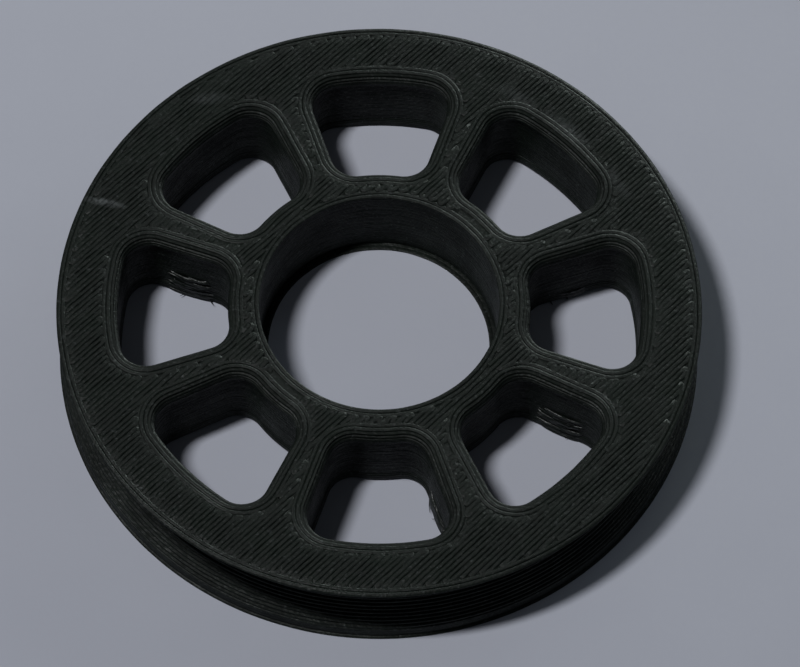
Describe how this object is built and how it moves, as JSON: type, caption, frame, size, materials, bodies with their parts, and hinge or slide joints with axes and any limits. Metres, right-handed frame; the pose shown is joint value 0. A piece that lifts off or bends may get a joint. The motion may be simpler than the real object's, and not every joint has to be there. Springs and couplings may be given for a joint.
{
  "type": "v-groove pulley wheel",
  "caption": "Flat round pulley wheel with a V-groove in its rim, windows between its spokes and an open bearing bore.",
  "frame": {"origin": "on the axis of rotation, in the lower face", "axes": "+Z along the axis of rotation, from the lower face to the upper face; +X through the middle of a window"},
  "size_m": [0.0604, 0.0604, 0.009],
  "materials": {
    "black_plastic": "matte black filament-printed plastic with fine layer lines"
  },
  "bodies": {
    "root": {"hub_ring": "black_plastic", "bore_lip": "black_plastic", "spoke_1": "black_plastic", "spoke_2": "black_plastic", "spoke_3": "black_plastic", "spoke_4": "black_plastic", "spoke_5": "black_plastic", "spoke_6": "black_plastic", "spoke_7": "black_plastic", "spoke_8": "black_plastic", "rim_ring": "black_plastic", "upper_flange": "black_plastic", "lower_flange": "black_plastic"}
  },
  "joints": []
}
